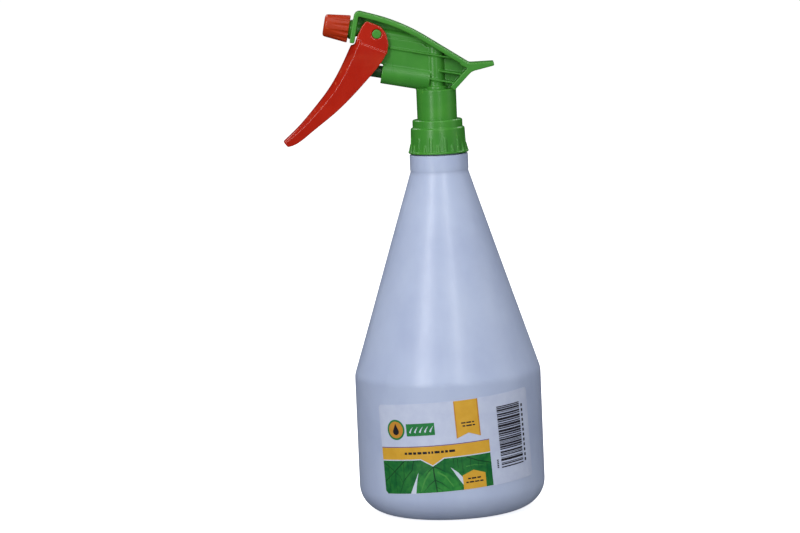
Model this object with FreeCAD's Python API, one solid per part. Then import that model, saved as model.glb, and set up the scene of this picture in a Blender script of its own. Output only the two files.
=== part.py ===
"""A one-litre hand mister: a conical bottle with a trigger pump head screwed to its neck.

Millimetres. The origin is on the bottle's axis, on the plane it stands on, +Z up.
The nozzle points to -X, tilted up, and the label faces -Y.
The pump head is drawn in a tilted frame: a runs backwards and b upwards, square to the nozzle's axis,
both counted from the middle of the bottle's rim.
"""
import FreeCAD, Part
import math
import os

from FreeCAD import Vector

# ---- clearances ----
GAP = 0.3            # between pieces that move past each other
RUNNING = 0.06       # radial, a pin or a piston in its bore
SEAL = 0.03          # radial, a seal against the wall that it slides on
SEAT = 0.05          # between faces that meet at the end of a travel

# ---- bottle ----
BOTTLE_R = 51.5
SHOULDER_Z = 77.4    # top of the straight wall
CONE_TOP_R = 15.9
RIM_Z = 213.0        # top of the neck finish
WALL = 1.0
HEEL_ACROSS = 17.6   # the rounded heel is half an ellipse's quarter: this wide
HEEL_UP = 15.3       # and this high
SHOULDER_BEND = 14.0
BASE_WALL = 1.5
PUSH_UP = 3.6
PUSH_UP_R = 30.0

# ---- neck finish and its screw thread ----
FINISH_H = 14.4
FINISH_R = 12.45
FINISH_BORE = 10.6
NECK_H = 9.4         # the plain neck between the cone and the finish
NECK_STEP = 0.2      # the neck stands this much outside the cone's top
THREAD_DEPTH = 1.2
THREAD_PITCH = 4.233
THREAD_SUNK = 0.3    # how far a ridge's root is sunk into its wall
BOTTLE_TURNS = 1.5
COLLAR_TURNS = 1.25
THREAD_TOP_DOWN = 1.9      # rim to the top of the bottle's thread
BOTTLE_RIDGE_W = (2.0, 0.9)    # the ridge's width at its root and at its crest
COLLAR_RIDGE_W = (2.1, 1.0)

# ---- label ----
LABEL_W = 93.0
LABEL_H = 49.5
LABEL_TILT = 3.7
LABEL_ARC = 4.5      # centre, measured round the wall from the -Y side
LABEL_Z = 43.7
LABEL_T = 0.12
LABEL_CORNER = 2.0

# ---- screw collar ----
COLLAR_UP = 0.7      # its foot above the finish's foot
COLLAR_BODY_H = 13.9
COLLAR_WALL = 1.45
COLLAR_TAPER = 0.5
RIM_FLANGE_OUT = 1.3
RIM_FLANGE_H = 1.1
TOP_RING_IN = 1.1    # the ring on its top, in from the body's edge
TOP_RING_H = 4.5
RIB_PAIRS = 12
RIB_W = 1.3
LONG_RIB_H = 8.6
LONG_RIB_OUT = 0.7
SHORT_RIB_H = 4.6
SHORT_RIB_OUT = 1.1
COLLAR_THREAD_GAP = 0.45   # radial, the collar's ridge to the finish
SHELF_BORE_GAP = 0.25      # radial, the bore above the collar's thread to the finish
COLLAR_THREAD_START = 100.0

# ---- gasket ----
GASKET_T = 1.5
GASKET_IN = 0.25     # its edge, in from the finish's
GASKET_BORE = 9.5

# ---- pump head, round the bottle's axis (heights above the rim) ----
SKIRT_R = 10.95
SKIRT_WALL = 1.7
SKIRT_TOP = 21.3
SKIRT_ROOF = 1.6
FLANGE_IN = 0.15     # its edge, in from the finish's
FLANGE_T = 1.65
RISER_R = 4.9
RISER_BORE = 3.0
RISER_FOOT_R = 6.3
RISER_FOOT_H = 1.6

# ---- pump head, tilted frame ----
TILT = 11.5
PUMP_B = 25.3        # height of the pump cylinder's axis
CYLINDER_R = 6.2
CYLINDER_BORE = 5.1
CYLINDER_FRONT = -35.1
CYLINDER_LEN = 26.6
RISER_SHORT = 2.3    # the top of the riser's bore, under the discharge tube's axis
CYLINDER_END = 1.6
PORT_R = 1.1
OUTLET_B = 45.8      # height of the discharge tube's axis
OUTLET_R = 3.3
OUTLET_BORE = 1.4
PIVOT_A = -41.2
PIVOT_R = 2.5
PIVOT_BLOCK_R = 4.2
STRAP_T = 2.6
STRAP_HALF = 7.7
PLATE_FRONT = -55.2
PLATE_DOWN = 7.1     # the nozzle plate's foot under the nozzle's axis
STRAP_UP = 10.8      # the strap's front corner over the nozzle's axis
STRAP_BEND_A = -29.0
STRAP_BEND_UP = 8.65
STRAP_BACK_A = 11.4
STRAP_BACK_B = 38.1
STRAP_BEND_R = 105.0
TAIL_LEN = 13.4
TAIL_TIP_T = 1.8
LOWER_STRAP_T = 3.0
WEB_HALF = 0.75
PANEL_HALF = 3.8
RIB_HALF = 5.4
RIB_T = 1.0
RIB_LEVELS = (13.5, 5.4, 0.2)     # over the pump cylinder's axis
PANEL_FOOT = 4.5     # the panel's foot over that axis
EAR_GAP_HALF = 5.0   # the trigger's ears stand outside this

# ---- nozzle ----
BOSS_LEN = 13.5
BOSS_R = 4.7
BOSS_THREAD_R = 5.3
BOSS_THREAD_LEN = 5.0
BOSS_PITCH = 2.0
BOSS_TURNS = 2.0
CAP_TURNS = 1.5
BOSS_RIDGE_W = (0.9, 0.45)
CAP_RIDGE_W = (0.75, 0.4)
BOSS_THREAD_START = 37.0   # degrees round from the first flute
BOSS_THREAD_IN = 0.6       # its first turn, behind the thread's front end
SPIGOT_R = 4.2
CHAMBER_R = 2.8
CHAMBER_LEN = 10.8
CAP_GAP = 1.6
CAP_LEN = 13.9
CAP_BACK_R = 7.6
CAP_FRONT_R = 6.2
CAP_EDGE = 1.3
FLUTES = 12
FLUTE_R = 1.5
ORIFICE_R = 0.35
FACE_GAP = 0.15      # the swirl core stands this far out of the boss
SWIRL_GROOVE_R = 0.55
SWIRL_GROOVES = 3
SWIRL_DIMPLE = (1.0, 0.5)  # radius and depth
RING_SECTION = 1.4   # nozzle sealing ring
RING_BACK = 4.4      # its centre, behind the boss's end
CORE_LEN = 4.8
VALVE_R = 2.3
VALVE_T = 1.6
VALVE_STEM_R = 0.8
VALVE_STEM_LEN = 2.2
VALVE_SPRING_R = 1.6
VALVE_WIRE = 0.5
VALVE_COILS = 4

# ---- piston and return spring ----
PISTON_ROD_R = 3.4
PISTON_IN = 2.6        # front of the head, inside the cylinder's mouth
PISTON_HEAD_LEN = 11.0
PISTON_BORE = 3.3
PISTON_BORE_DEPTH = 10.0
SEAL_GROOVE_R = 4.1
SEAL_W = 1.8
SEAL_INSET = 1.2
SPRING_R = 2.65
SPRING_WIRE = 0.9
SPRING_COILS = 8

# ---- trigger, from its pivot: back and up, upright axes ----
TRIGGER_WALL = 1.5
TRIGGER_HALF = 8.0
EAR_T = 2.0
EAR_LEAD_IN = 0.45   # the chamfer round the pin's hole
PAD_A = -10.0        # the bar that pushes the piston, tilted frame
PAD_B = -19.5
PAD_R = 2.5
HANDLE_STATIONS = (  # front (back, up), back (back, up), half width, depth of the rounded front
    ((-12.6, -1.0), (7.0, -3.0), 8.0, 3.9),
    ((-15.2, -7.0), (5.0, -10.6), 8.0, 4.1),
    ((-20.6, -17.6), (-1.6, -19.8), 7.9, 4.2),
    ((-27.6, -28.9), (-12.3, -31.1), 7.4, 4.0),
    ((-36.4, -39.6), (-24.6, -42.4), 6.7, 3.4),
    ((-46.6, -50.5), (-38.4, -52.9), 5.8, 2.5),
    ((-51.2, -54.6), (-45.4, -58.0), 5.3, 1.8),
    ((-54.0, -57.2), (-51.6, -60.2), 4.6, 1.0),
)
HANDLE_TOP = (       # the handle is cut off above this line
    (-17.0, -6.1), (-13.2, -5.7), (-12.3, -5.0), (-11.4, -2.2), (-9.3, -2.8), (-8.7, -4.7), (5.4, -10.6),
    (9.5, -12.3), (9.5, 6.0), (-17.0, 6.0),
)
EAR_OUTLINE = (
    (-7.7, 5.0), (-5.3, 7.4), (2.2, 4.1), (5.2, 0.2), (6.3, -5.6), (5.2, -11.6), (-11.8, -6.6),
    (-11.6, -5.0), (-10.9, -1.2),
)
EAR_ROUNDS = (1.2, 1.8, 5.0, 6.0, 5.0, 0.4, 0.4, 0.3, 3.0)

# ---- inlet valve, dip tube and strainer ----
ADAPTER_TOP = 12.0
ADAPTER_PLATE_T = 1.2
ADAPTER_PLATE_UP = 2.0
SOCKET_R = 4.6
SOCKET_DEPTH = 11.0
SOCKET_DOWN = 1.6    # the tube's end under the seat's foot
INLET_R = 1.2
BALL_R = 1.9
BALL_LIFT = 1.8
BALL_ROOM = 0.35
SEAT_HEIGHT = 1.3
CAGE_T = 1.4
CAGE_WALL = 0.6
CAGE_BAR = 1.0
VENT_R = 0.7
TUBE_R = 3.1
TUBE_WALL = 0.9
STRAINER_FLOOR_GAP = 2.6   # bottle's floor to the strainer
STRAINER_LEN = 18.0
STRAINER_WALL = 1.0
STRAINER_GRIP = 6.0
STRAINER_SLOTS = 6
STRAINER_SLOT_W = 1.2
STRAINER_FLOOR = 1.2
STRAINER_STOP = 1.0  # height of the ring that the tube's end meets

# ---- derived ----
SLANT = math.radians(TILT)
FINISH_Z = RIM_Z - FINISH_H
CONE_TOP_Z = FINISH_Z - NECK_H
THREAD_R = FINISH_R + THREAD_DEPTH
THREAD_LOW = RIM_Z - THREAD_TOP_DOWN - THREAD_PITCH * BOTTLE_TURNS
COLLAR_Z = FINISH_Z + COLLAR_UP
COLLAR_BORE = THREAD_R + GAP
COLLAR_THREAD_R = FINISH_R + COLLAR_THREAD_GAP
COLLAR_LOW_R = COLLAR_BORE + COLLAR_WALL
COLLAR_TOP_R = COLLAR_LOW_R - COLLAR_TAPER
RIM_FLANGE_R = COLLAR_LOW_R + RIM_FLANGE_OUT
TOP_RING_R = COLLAR_TOP_R - TOP_RING_IN
FLANGE_R = FINISH_R - FLANGE_IN
CYLINDER_BACK = CYLINDER_FRONT + CYLINDER_LEN
CYLINDER_FLOOR = CYLINDER_BACK - CYLINDER_END
PLATE_FOOT = OUTLET_B - PLATE_DOWN
STRAP_CORNER_B = OUTLET_B + STRAP_UP
STRAP_BEND_B = OUTLET_B + STRAP_BEND_UP
RISER_BORE_TOP = OUTLET_B - RISER_SHORT
BOSS_END = PLATE_FRONT - BOSS_LEN
CORE_FRONT = BOSS_END - FACE_GAP
CHAMBER_FLOOR = BOSS_END + CHAMBER_LEN
CAP_BACK = PLATE_FRONT - CAP_GAP
CAP_FRONT = CAP_BACK - CAP_LEN
BOSS_THREAD_END = CAP_BACK - BOSS_THREAD_LEN
PISTON_FRONT = CYLINDER_FRONT + PISTON_IN
PISTON_NOSE = PIVOT_A + PAD_A + PAD_R + 2 * SEAT
PISTON_BACK = PISTON_FRONT + PISTON_HEAD_LEN
SKIRT_BORE = SKIRT_R - SKIRT_WALL
FLANGE_FOOT = GASKET_T + SEAT
SHELF = FLANGE_FOOT + FLANGE_T + GAP    # underside of the collar's top, above the rim
CHAMBER_BORE = BALL_R + BALL_ROOM
SOCKET_TOP = ADAPTER_PLATE_UP - SOCKET_DOWN
STRAINER_FOOT = PUSH_UP + BASE_WALL + STRAINER_FLOOR_GAP


# ================= helpers =================

def ring(low, high, radius, bore=0.0):
    """A disc or ring round the Z axis between two heights."""
    body = Part.makeCylinder(radius, high - low, Vector(0, 0, low))
    if bore > 0:
        body = body.cut(Part.makeCylinder(bore, high - low + 2, Vector(0, 0, low - 1)))
    return body


def corner(before, point, after, radius):
    """Where a rounded corner starts, its middle and its end, in a plane."""
    u = Vector(before[0] - point[0], before[1] - point[1], 0)
    v = Vector(after[0] - point[0], after[1] - point[1], 0)
    u.normalize()
    v.normalize()
    half = u.getAngle(v) / 2
    reach = radius / math.tan(half)
    middle = u + v
    middle.normalize()
    off = radius / math.sin(half) - radius
    p = Vector(point[0], point[1], 0)
    return p + u * reach, p + middle * off, p + v * reach


def outline(points, radii):
    """A closed wire in the XZ plane, straight between points, each corner rounded by its radius."""
    count = len(points)
    corners = []
    for i in range(count):
        if radii[i] > 0:
            places = corner(points[i - 1], points[i], points[(i + 1) % count], radii[i])
            corners.append([Vector(p.x, 0, p.y) for p in places])
        else:
            corners.append([Vector(points[i][0], 0, points[i][1])] * 3)
    edges = []
    for i in range(count):
        start, middle, end = corners[i]
        following = corners[(i + 1) % count][0]
        if radii[i] > 0:
            edges.append(Part.Arc(start, middle, end).toShape())
        if end.distanceToPoint(following) > 1e-6:
            edges.append(Part.makeLine(end, following))
    return Part.Wire(edges)


def plate(points, radii, half, other=None):
    """A flat plate in the XZ plane, from -half to +half in Y, or from half to other."""
    low, high = (-half, half) if other is None else (half, other)
    face = Part.Face(outline(points, radii))
    face.translate(Vector(0, low, 0))
    return face.extrude(Vector(0, high - low, 0))


def round_z(points):
    """A solid of revolution round Z from (radius, height) points."""
    wire = Part.makePolygon([Vector(r, 0, z) for r, z in points + points[:1]])
    return Part.Face(wire).revolve(Vector(), Vector(0, 0, 1), 360)


def round_a(points, height):
    """A solid of revolution round a line along the tilted frame's a axis, from (a, radius) points."""
    wire = Part.makePolygon([Vector(a, 0, height + r) for a, r in points + points[:1]])
    return Part.Face(wire).revolve(Vector(0, 0, height), Vector(1, 0, 0), 360)


def rod_a(low, high, height, radius):
    """A rod along the tilted frame's a axis."""
    return Part.makeCylinder(radius, high - low, Vector(low, 0, height), Vector(1, 0, 0))


def rod_y(at, height, radius, half):
    """A rod along Y, centred on the middle plane."""
    return Part.makeCylinder(radius, 2 * half, Vector(at, -half, height), Vector(0, 1, 0))


def tilted(shape):
    """From the tilted frame to the model's."""
    shape = shape.copy()
    shape.rotate(Vector(), Vector(0, 1, 0), TILT)
    shape.translate(Vector(0, 0, RIM_Z))
    return shape


def above_rim(shape):
    """From heights above the rim to the model's frame."""
    shape = shape.copy()
    shape.translate(Vector(0, 0, RIM_Z))
    return shape


def thread(root, crest, pitch, low, turns, widths, start=0.0):
    """A trapezoid thread wound round Z, its root sunk a little into the wall that carries it."""
    root_w, crest_w = widths
    sunk = root - math.copysign(THREAD_SUNK, crest - root)
    helix = Part.makeHelix(pitch, pitch * turns, root)
    profile = Part.makePolygon([
        Vector(sunk, 0, -root_w / 2),
        Vector(root, 0, -root_w / 2),
        Vector(crest, 0, -crest_w / 2),
        Vector(crest, 0, crest_w / 2),
        Vector(root, 0, root_w / 2),
        Vector(sunk, 0, root_w / 2),
        Vector(sunk, 0, -root_w / 2),
    ])
    ridge = Part.Wire(helix).makePipeShell([profile], True, True)
    ridge.rotate(Vector(), Vector(0, 0, 1), start)
    ridge.translate(Vector(0, 0, low))
    return ridge


def coil(radius, wire, length, coils):
    """A compression spring standing on z = 0, its wire's ends inside the given length."""
    rise = length - wire
    helix = Part.makeHelix(rise / coils, rise, radius)
    section = Part.Wire(Part.makeCircle(wire / 2, Vector(radius, 0, 0), Vector(0, 1, 0)))
    spring = Part.Wire(helix).makePipeShell([section], True, True)
    spring.translate(Vector(0, 0, wire / 2))
    return spring


def along_a(shape, at, height):
    """Lay a shape that stands on +Z along +a, its foot at the given place."""
    shape = shape.copy()
    shape.rotate(Vector(), Vector(0, 1, 0), 90)
    shape.translate(Vector(at, 0, height))
    return shape


# ================= bottle and label =================

def bottle_profile(inset, floor):
    """The bottle's side as edges, from the axis to the foot of the neck finish, inset by the wall."""
    radius = BOTTLE_R - inset
    heel = radius - (HEEL_ACROSS - inset)
    across = HEEL_ACROSS - inset
    up = HEEL_UP - floor
    dish = PUSH_UP_R + inset
    slope = math.atan2(BOTTLE_R - CONE_TOP_R, CONE_TOP_Z - SHOULDER_Z)
    reach = SHOULDER_BEND * math.tan(slope / 2)
    side = Vector(math.sin(slope), 0, -math.cos(slope))
    shoulder = Vector(radius, 0, SHOULDER_Z)
    cone_top = Vector(CONE_TOP_R - inset, 0, CONE_TOP_Z)
    bend_top = shoulder - side * reach
    middle = shoulder + Vector(-math.cos(slope / 2), 0, -math.sin(slope / 2)) * (
        SHOULDER_BEND / math.cos(slope / 2) - SHOULDER_BEND)
    centre = Vector(heel, 0, HEEL_UP)
    heel_arc = [
        centre + Vector(across * math.sin(t), 0, -up * math.cos(t))
        for t in [math.radians(15 * i) for i in range(7)]
    ]
    curve = Part.BSplineCurve()
    curve.interpolate(heel_arc, InitialTangent=Vector(1, 0, 0), FinalTangent=Vector(0, 0, 1))
    dome = Part.Arc(
        Vector(0, 0, PUSH_UP + floor),
        Vector(dish * 0.55, 0, PUSH_UP * 0.72 + floor),
        Vector(dish, 0, floor),
    )
    return [
        dome.toShape(),
        Part.makeLine(Vector(dish, 0, floor), heel_arc[0]),
        curve.toShape(),
        Part.makeLine(heel_arc[-1], shoulder - Vector(0, 0, reach)),
        Part.Arc(shoulder - Vector(0, 0, reach), middle, bend_top).toShape(),
        Part.makeLine(bend_top, cone_top),
    ]


def bottle_solid(inset, floor, neck, top):
    """The bottle's side closed through its neck points and back down the axis."""
    edges = bottle_profile(inset, floor)
    last = Vector(CONE_TOP_R - inset, 0, CONE_TOP_Z)
    points = [last] + [Vector(r, 0, z) for r, z in neck] + [Vector(0, 0, top)]
    points.append(Vector(0, 0, PUSH_UP + floor))
    for start, end in zip(points, points[1:]):
        edges.append(Part.makeLine(start, end))
    return Part.Face(Part.Wire(edges)).revolve(Vector(), Vector(0, 0, 1), 360)


def bottle():
    neck_r = CONE_TOP_R + NECK_STEP
    outside = bottle_solid(0.0, 0.0, [
        (neck_r, CONE_TOP_Z + 1.2),
        (neck_r, FINISH_Z - 0.6),
        (neck_r - 0.6, FINISH_Z),
        (FINISH_R, FINISH_Z),
        (FINISH_R, RIM_Z - 0.4),
        (FINISH_R - 0.4, RIM_Z),
    ], RIM_Z)
    inside = bottle_solid(WALL, BASE_WALL, [
        (neck_r - WALL - 0.2, FINISH_Z - 3.0),
        (FINISH_BORE, FINISH_Z + 0.5),
        (FINISH_BORE, RIM_Z + 1.0),
    ], RIM_Z + 1.0)
    ridge = thread(FINISH_R, THREAD_R, THREAD_PITCH, THREAD_LOW, BOTTLE_TURNS, BOTTLE_RIDGE_W)
    return outside.fuse(ridge).cut(inside)


def label():
    """A paper sheet on the wall, a little crooked: its corners are found on the unrolled wall."""
    turn = math.radians(LABEL_TILT)
    corners = []
    for side, up in ((-1, 1), (1, 1), (1, -1), (-1, -1)):
        across = side * LABEL_W / 2
        rise = up * LABEL_H / 2
        arc = LABEL_ARC + across * math.cos(turn) - rise * math.sin(turn)
        height = LABEL_Z + across * math.sin(turn) + rise * math.cos(turn)
        corners.append((BOTTLE_R * math.sin(arc / BOTTLE_R), height))
    sheet = plate(corners, [LABEL_CORNER] * 4, -BOTTLE_R - 1, 0)
    return sheet.common(ring(0, SHOULDER_Z, BOTTLE_R + LABEL_T, BOTTLE_R))


# ================= collar and gasket =================

def collar_rib(angle, height, radius):
    """One upright grip rib, leaning in towards its top."""
    foot = COLLAR_Z + RIM_FLANGE_H - 0.2
    top = foot + height
    wall = COLLAR_LOW_R - COLLAR_TAPER * (top - COLLAR_Z) / COLLAR_BODY_H
    root = COLLAR_LOW_R - COLLAR_WALL / 2
    points = [(root, foot), (radius, foot), (wall + 0.35, top - 0.7), (wall - 0.2, top), (root - 0.2, top)]
    rib = plate(points, [0] * len(points), RIB_W / 2)
    rib.rotate(Vector(), Vector(0, 0, 1), angle - 90)
    return rib


def screw_collar():
    body_top = COLLAR_Z + COLLAR_BODY_H
    ring_top = body_top + TOP_RING_H
    narrow = FINISH_R + SHELF_BORE_GAP
    shelf = RIM_Z + SHELF
    step = RIM_Z - 0.9
    shell = round_z([
        (COLLAR_BORE, COLLAR_Z),
        (RIM_FLANGE_R - 0.2, COLLAR_Z),
        (RIM_FLANGE_R, COLLAR_Z + 0.3),
        (RIM_FLANGE_R, COLLAR_Z + RIM_FLANGE_H - 0.2),
        (RIM_FLANGE_R - 0.3, COLLAR_Z + RIM_FLANGE_H),
        (COLLAR_LOW_R, COLLAR_Z + RIM_FLANGE_H),
        (COLLAR_TOP_R, body_top - 0.4),
        (COLLAR_TOP_R - 0.4, body_top),
        (TOP_RING_R, body_top),
        (TOP_RING_R, ring_top - 0.5),
        (TOP_RING_R - 0.5, ring_top),
        (SKIRT_R + GAP, ring_top),
        (SKIRT_R + GAP, shelf),
        (narrow, shelf),
        (narrow, step),
        (COLLAR_BORE, step - 0.9),
    ])
    step_angle = 360.0 / RIB_PAIRS
    ribs = []
    for i in range(RIB_PAIRS):
        ribs.append(collar_rib((i + 0.5) * step_angle, LONG_RIB_H, COLLAR_LOW_R + LONG_RIB_OUT))
        ribs.append(collar_rib(i * step_angle, SHORT_RIB_H, COLLAR_LOW_R + SHORT_RIB_OUT))
    # the collar's thread lies half a pitch below the bottle's, so that each sits in the other's groove
    low = THREAD_LOW + THREAD_PITCH * (COLLAR_THREAD_START / 360 - 0.5)
    ridge = thread(COLLAR_BORE, COLLAR_THREAD_R, THREAD_PITCH, low, COLLAR_TURNS, COLLAR_RIDGE_W,
                   COLLAR_THREAD_START)
    return shell.fuse(ribs).fuse(ridge)


def neck_gasket():
    return above_rim(ring(0, GASKET_T, FINISH_R - GASKET_IN, GASKET_BORE))


# ================= pump head body =================

def strap():
    """The bent strap: nozzle plate, long top and its bend, one thickness throughout."""
    t = STRAP_T
    first = math.atan2(STRAP_CORNER_B - STRAP_BEND_B, STRAP_BEND_A - PLATE_FRONT)
    second = math.atan2(STRAP_BEND_B - STRAP_BACK_B, STRAP_BACK_A - STRAP_BEND_A)
    half_bend = (first + second) / 2
    inner_corner = (PLATE_FRONT + t, STRAP_CORNER_B - t * (1 + math.sin(first)) / math.cos(first))
    inner_bend = (STRAP_BEND_A - t * math.sin(half_bend), STRAP_BEND_B - t * math.cos(half_bend))
    inner_back = (STRAP_BACK_A - t * math.sin(second), STRAP_BACK_B - t * math.cos(second))
    points = [(PLATE_FRONT, PLATE_FOOT), (PLATE_FRONT, STRAP_CORNER_B), (STRAP_BEND_A, STRAP_BEND_B),
              (STRAP_BACK_A, STRAP_BACK_B), inner_back, inner_bend, inner_corner,
              (PLATE_FRONT + t, PLATE_FOOT)]
    radii = [0.5, t + 0.2, STRAP_BEND_R, 0, 0, STRAP_BEND_R - t, 0.4, 0.5]
    return plate(points, radii, STRAP_HALF)


def level(back, up):
    """A point given by level distances from the strap's back corner, in the tilted frame."""
    return (STRAP_BACK_A + back * math.cos(SLANT) - up * math.sin(SLANT),
            STRAP_BACK_B + back * math.sin(SLANT) + up * math.cos(SLANT))


def tail_and_lower_strap():
    """The level rest behind the head and the strap that runs down from it to the skirt."""
    skirt_edge = (SKIRT_R * math.cos(SLANT) - SKIRT_TOP * math.sin(SLANT),
                  SKIRT_R * math.sin(SLANT) + SKIRT_TOP * math.cos(SLANT))
    bend = level(1.2, -4.6)
    run = Vector(bend[0] - skirt_edge[0], bend[1] - skirt_edge[1], 0)
    run.normalize()
    across = Vector(-run.y, run.x, 0) * LOWER_STRAP_T
    foot = (skirt_edge[0] - run.x * 1.2, skirt_edge[1] - run.y * 1.2)
    inner_foot = (foot[0] + across.x, foot[1] + across.y)
    inner_top = (skirt_edge[0] + across.x + run.x * 12.6, skirt_edge[1] + across.y + run.y * 12.6)
    points = [level(-4.0, 1.9), level(0.2, 0.0), level(TAIL_LEN, 0.25), level(TAIL_LEN + 0.4, -TAIL_TIP_T),
              bend, foot, inner_foot, inner_top, level(-4.6, -0.8)]
    radii = [0, 3.0, 0.7, 0.7, 6.0, 0, 0, 0.6, 0]
    return plate(points, radii, STRAP_HALF)


def ribs_and_webs():
    """The thin middle web under the strap, the thicker panel over the cylinder and three cross ribs."""
    back = STRAP_BACK_A
    middle_tube = OUTLET_B - OUTLET_R + 0.5
    behind_riser = -9.0
    web = plate([(PLATE_FRONT + 1, middle_tube), (PLATE_FRONT + 1, STRAP_CORNER_B - STRAP_T / 2),
                 (STRAP_BEND_A, STRAP_BEND_B - STRAP_T), (back - 1, STRAP_BACK_B - STRAP_T / 2),
                 (back - 1.5, STRAP_BACK_B - 3.6), (7.2, SKIRT_TOP + 4.6), (6.2, SKIRT_TOP + 0.8),
                 (-2.0, SKIRT_TOP - 0.4), (behind_riser, SKIRT_TOP + 2.7), (behind_riser, middle_tube)],
                [0] * 10, WEB_HALF)
    panel_top = OUTLET_B - 1
    panel = plate([(PIVOT_A, PUMP_B + PANEL_FOOT), (PIVOT_A, panel_top), (-16.0, panel_top),
                   (-7.5, panel_top - 4.8), (-6.0, PUMP_B + PANEL_FOOT)], [0] * 5, PANEL_HALF)
    swept = PIVOT_A + 8.0
    clear = PIVOT_A + 21.0
    top, middle, low = [PUMP_B + up for up in RIB_LEVELS]
    slope = (STRAP_BEND_B - STRAP_BACK_B) / (STRAP_BACK_A - STRAP_BEND_A)
    strap_at_top = STRAP_BACK_A - (top - STRAP_BACK_B) / slope - 4.0
    runs = (
        (swept, clear, clear, top, EAR_GAP_HALF - GAP - 0.1),
        (clear, strap_at_top, strap_at_top, top, RIB_HALF),
        (-4.0, 7.9, 8.6, middle, RIB_HALF),
        (-9.5, 4.3, 5.0, low, RIB_HALF),
    )
    ribs = []
    for front, foot_end, top_end, foot, half in runs:
        points = [(front, foot), (front, foot + RIB_T), (top_end, foot + RIB_T), (foot_end, foot)]
        ribs.append(plate(points, [0] * len(points), half))
    return [web, panel] + ribs


def nozzle_boss():
    """The threaded boss in front of the plate, with the plain spigot that the sealing ring slides on."""
    boss = rod_a(BOSS_THREAD_END, PLATE_FRONT + 0.5, OUTLET_B, BOSS_R)
    spigot = rod_a(BOSS_END, BOSS_THREAD_END, OUTLET_B, SPIGOT_R)
    ridge = thread(BOSS_R, BOSS_THREAD_R, BOSS_PITCH, 0.0, BOSS_TURNS, BOSS_RIDGE_W, BOSS_THREAD_START)
    ridge = along_a(ridge, BOSS_THREAD_END + BOSS_THREAD_IN, OUTLET_B)
    collar = rod_a(CAP_BACK + 0.4, PLATE_FRONT + 0.5, OUTLET_B, BOSS_THREAD_R)
    return boss.fuse([spigot, ridge, collar])


def over_strap():
    """The space above the strap's middle, which trims what runs up into it."""
    sunk = STRAP_T / 2
    front = PLATE_FRONT - 5
    back = STRAP_BACK_A + 5
    high = STRAP_CORNER_B + 30
    points = [(front, STRAP_CORNER_B - sunk), (STRAP_BEND_A, STRAP_BEND_B - sunk - 1),
              (back, STRAP_BACK_B - sunk - 2), (back, high), (front, high)]
    return tilted(plate(points, [0] * len(points), STRAP_HALF + 5))


def head_body():
    base = FLANGE_FOOT
    axial = ring(base, SKIRT_TOP, SKIRT_R, SKIRT_BORE)
    axial = axial.fuse([
        ring(SKIRT_TOP - SKIRT_ROOF, SKIRT_TOP, SKIRT_R),
        ring(base, base + FLANGE_T, FLANGE_R, SKIRT_BORE),
        ring(SKIRT_TOP, SKIRT_TOP + RISER_FOOT_H, RISER_FOOT_R),
        ring(ADAPTER_PLATE_UP + ADAPTER_PLATE_T + SEAT, RISER_BORE_TOP + 5, RISER_R),
    ])
    axial = above_rim(axial).fuse(tilted(rod_a(PLATE_FRONT + 1, -8.0, OUTLET_B, OUTLET_R)))
    axial = axial.cut(over_strap())
    head = [
        rod_a(CYLINDER_FRONT, CYLINDER_BACK, PUMP_B, CYLINDER_R),
        rod_y(PIVOT_A, OUTLET_B, PIVOT_BLOCK_R, EAR_GAP_HALF - GAP),
        rod_y(PIVOT_A, OUTLET_B, PIVOT_R, EAR_GAP_HALF + EAR_T + GAP),
        strap(),
        tail_and_lower_strap(),
        nozzle_boss(),
    ] + ribs_and_webs()
    solid = axial
    for piece in head:
        solid = solid.fuse(tilted(piece))
    port_end = -PUMP_B * math.tan(SLANT)
    vent_foot = Vector(0, (SKIRT_BORE + RISER_FOOT_R) / 2, SKIRT_TOP - SKIRT_ROOF - 2.4)
    # the discharge bore falls a little from the valve's chamber to the top of the riser's bore
    chamber = Vector(CHAMBER_FLOOR - 1, 0, OUTLET_B)
    meeting = RISER_BORE_TOP - OUTLET_BORE / 2
    fall = Vector(-meeting * math.sin(SLANT), 0, meeting * math.cos(SLANT)) - chamber
    cuts = [
        tilted(rod_a(CYLINDER_FRONT - 1, CYLINDER_FLOOR, PUMP_B, CYLINDER_BORE)),
        tilted(rod_a(CYLINDER_FLOOR - 1, port_end, PUMP_B, PORT_R)),
        tilted(Part.makeCylinder(OUTLET_BORE, fall.Length, chamber, fall)),
        tilted(rod_a(BOSS_END - 1, CHAMBER_FLOOR, OUTLET_B, CHAMBER_R)),
        above_rim(ring(base - 1, RISER_BORE_TOP, RISER_BORE)),
        above_rim(ring(base - 1, SKIRT_TOP - SKIRT_ROOF, SKIRT_BORE, RISER_R)),
        above_rim(Part.makeCylinder(VENT_R, 5.0, vent_foot)),
    ]
    for tool in cuts:
        solid = solid.cut(tool)
    return solid


# ================= pump parts =================

def piston():
    head_r = CYLINDER_BORE - RUNNING
    points = [
        (PISTON_NOSE, 0),
        (PISTON_NOSE, PISTON_ROD_R - 0.6),
        (PISTON_NOSE + 0.6, PISTON_ROD_R),
        (PISTON_FRONT, PISTON_ROD_R),
        (PISTON_FRONT, head_r),
    ]
    for groove in (PISTON_FRONT + SEAL_INSET, PISTON_BACK - SEAL_INSET - SEAL_W):
        points.append((groove, head_r))
        points.append((groove, SEAL_GROOVE_R))
        points.append((groove + SEAL_W, SEAL_GROOVE_R))
        points.append((groove + SEAL_W, head_r))
    points.append((PISTON_BACK, head_r))
    points.append((PISTON_BACK, PISTON_BORE))
    points.append((PISTON_BACK - PISTON_BORE_DEPTH, PISTON_BORE))
    points.append((PISTON_BACK - PISTON_BORE_DEPTH, 0))
    return tilted(round_a(points, PUMP_B))


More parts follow.
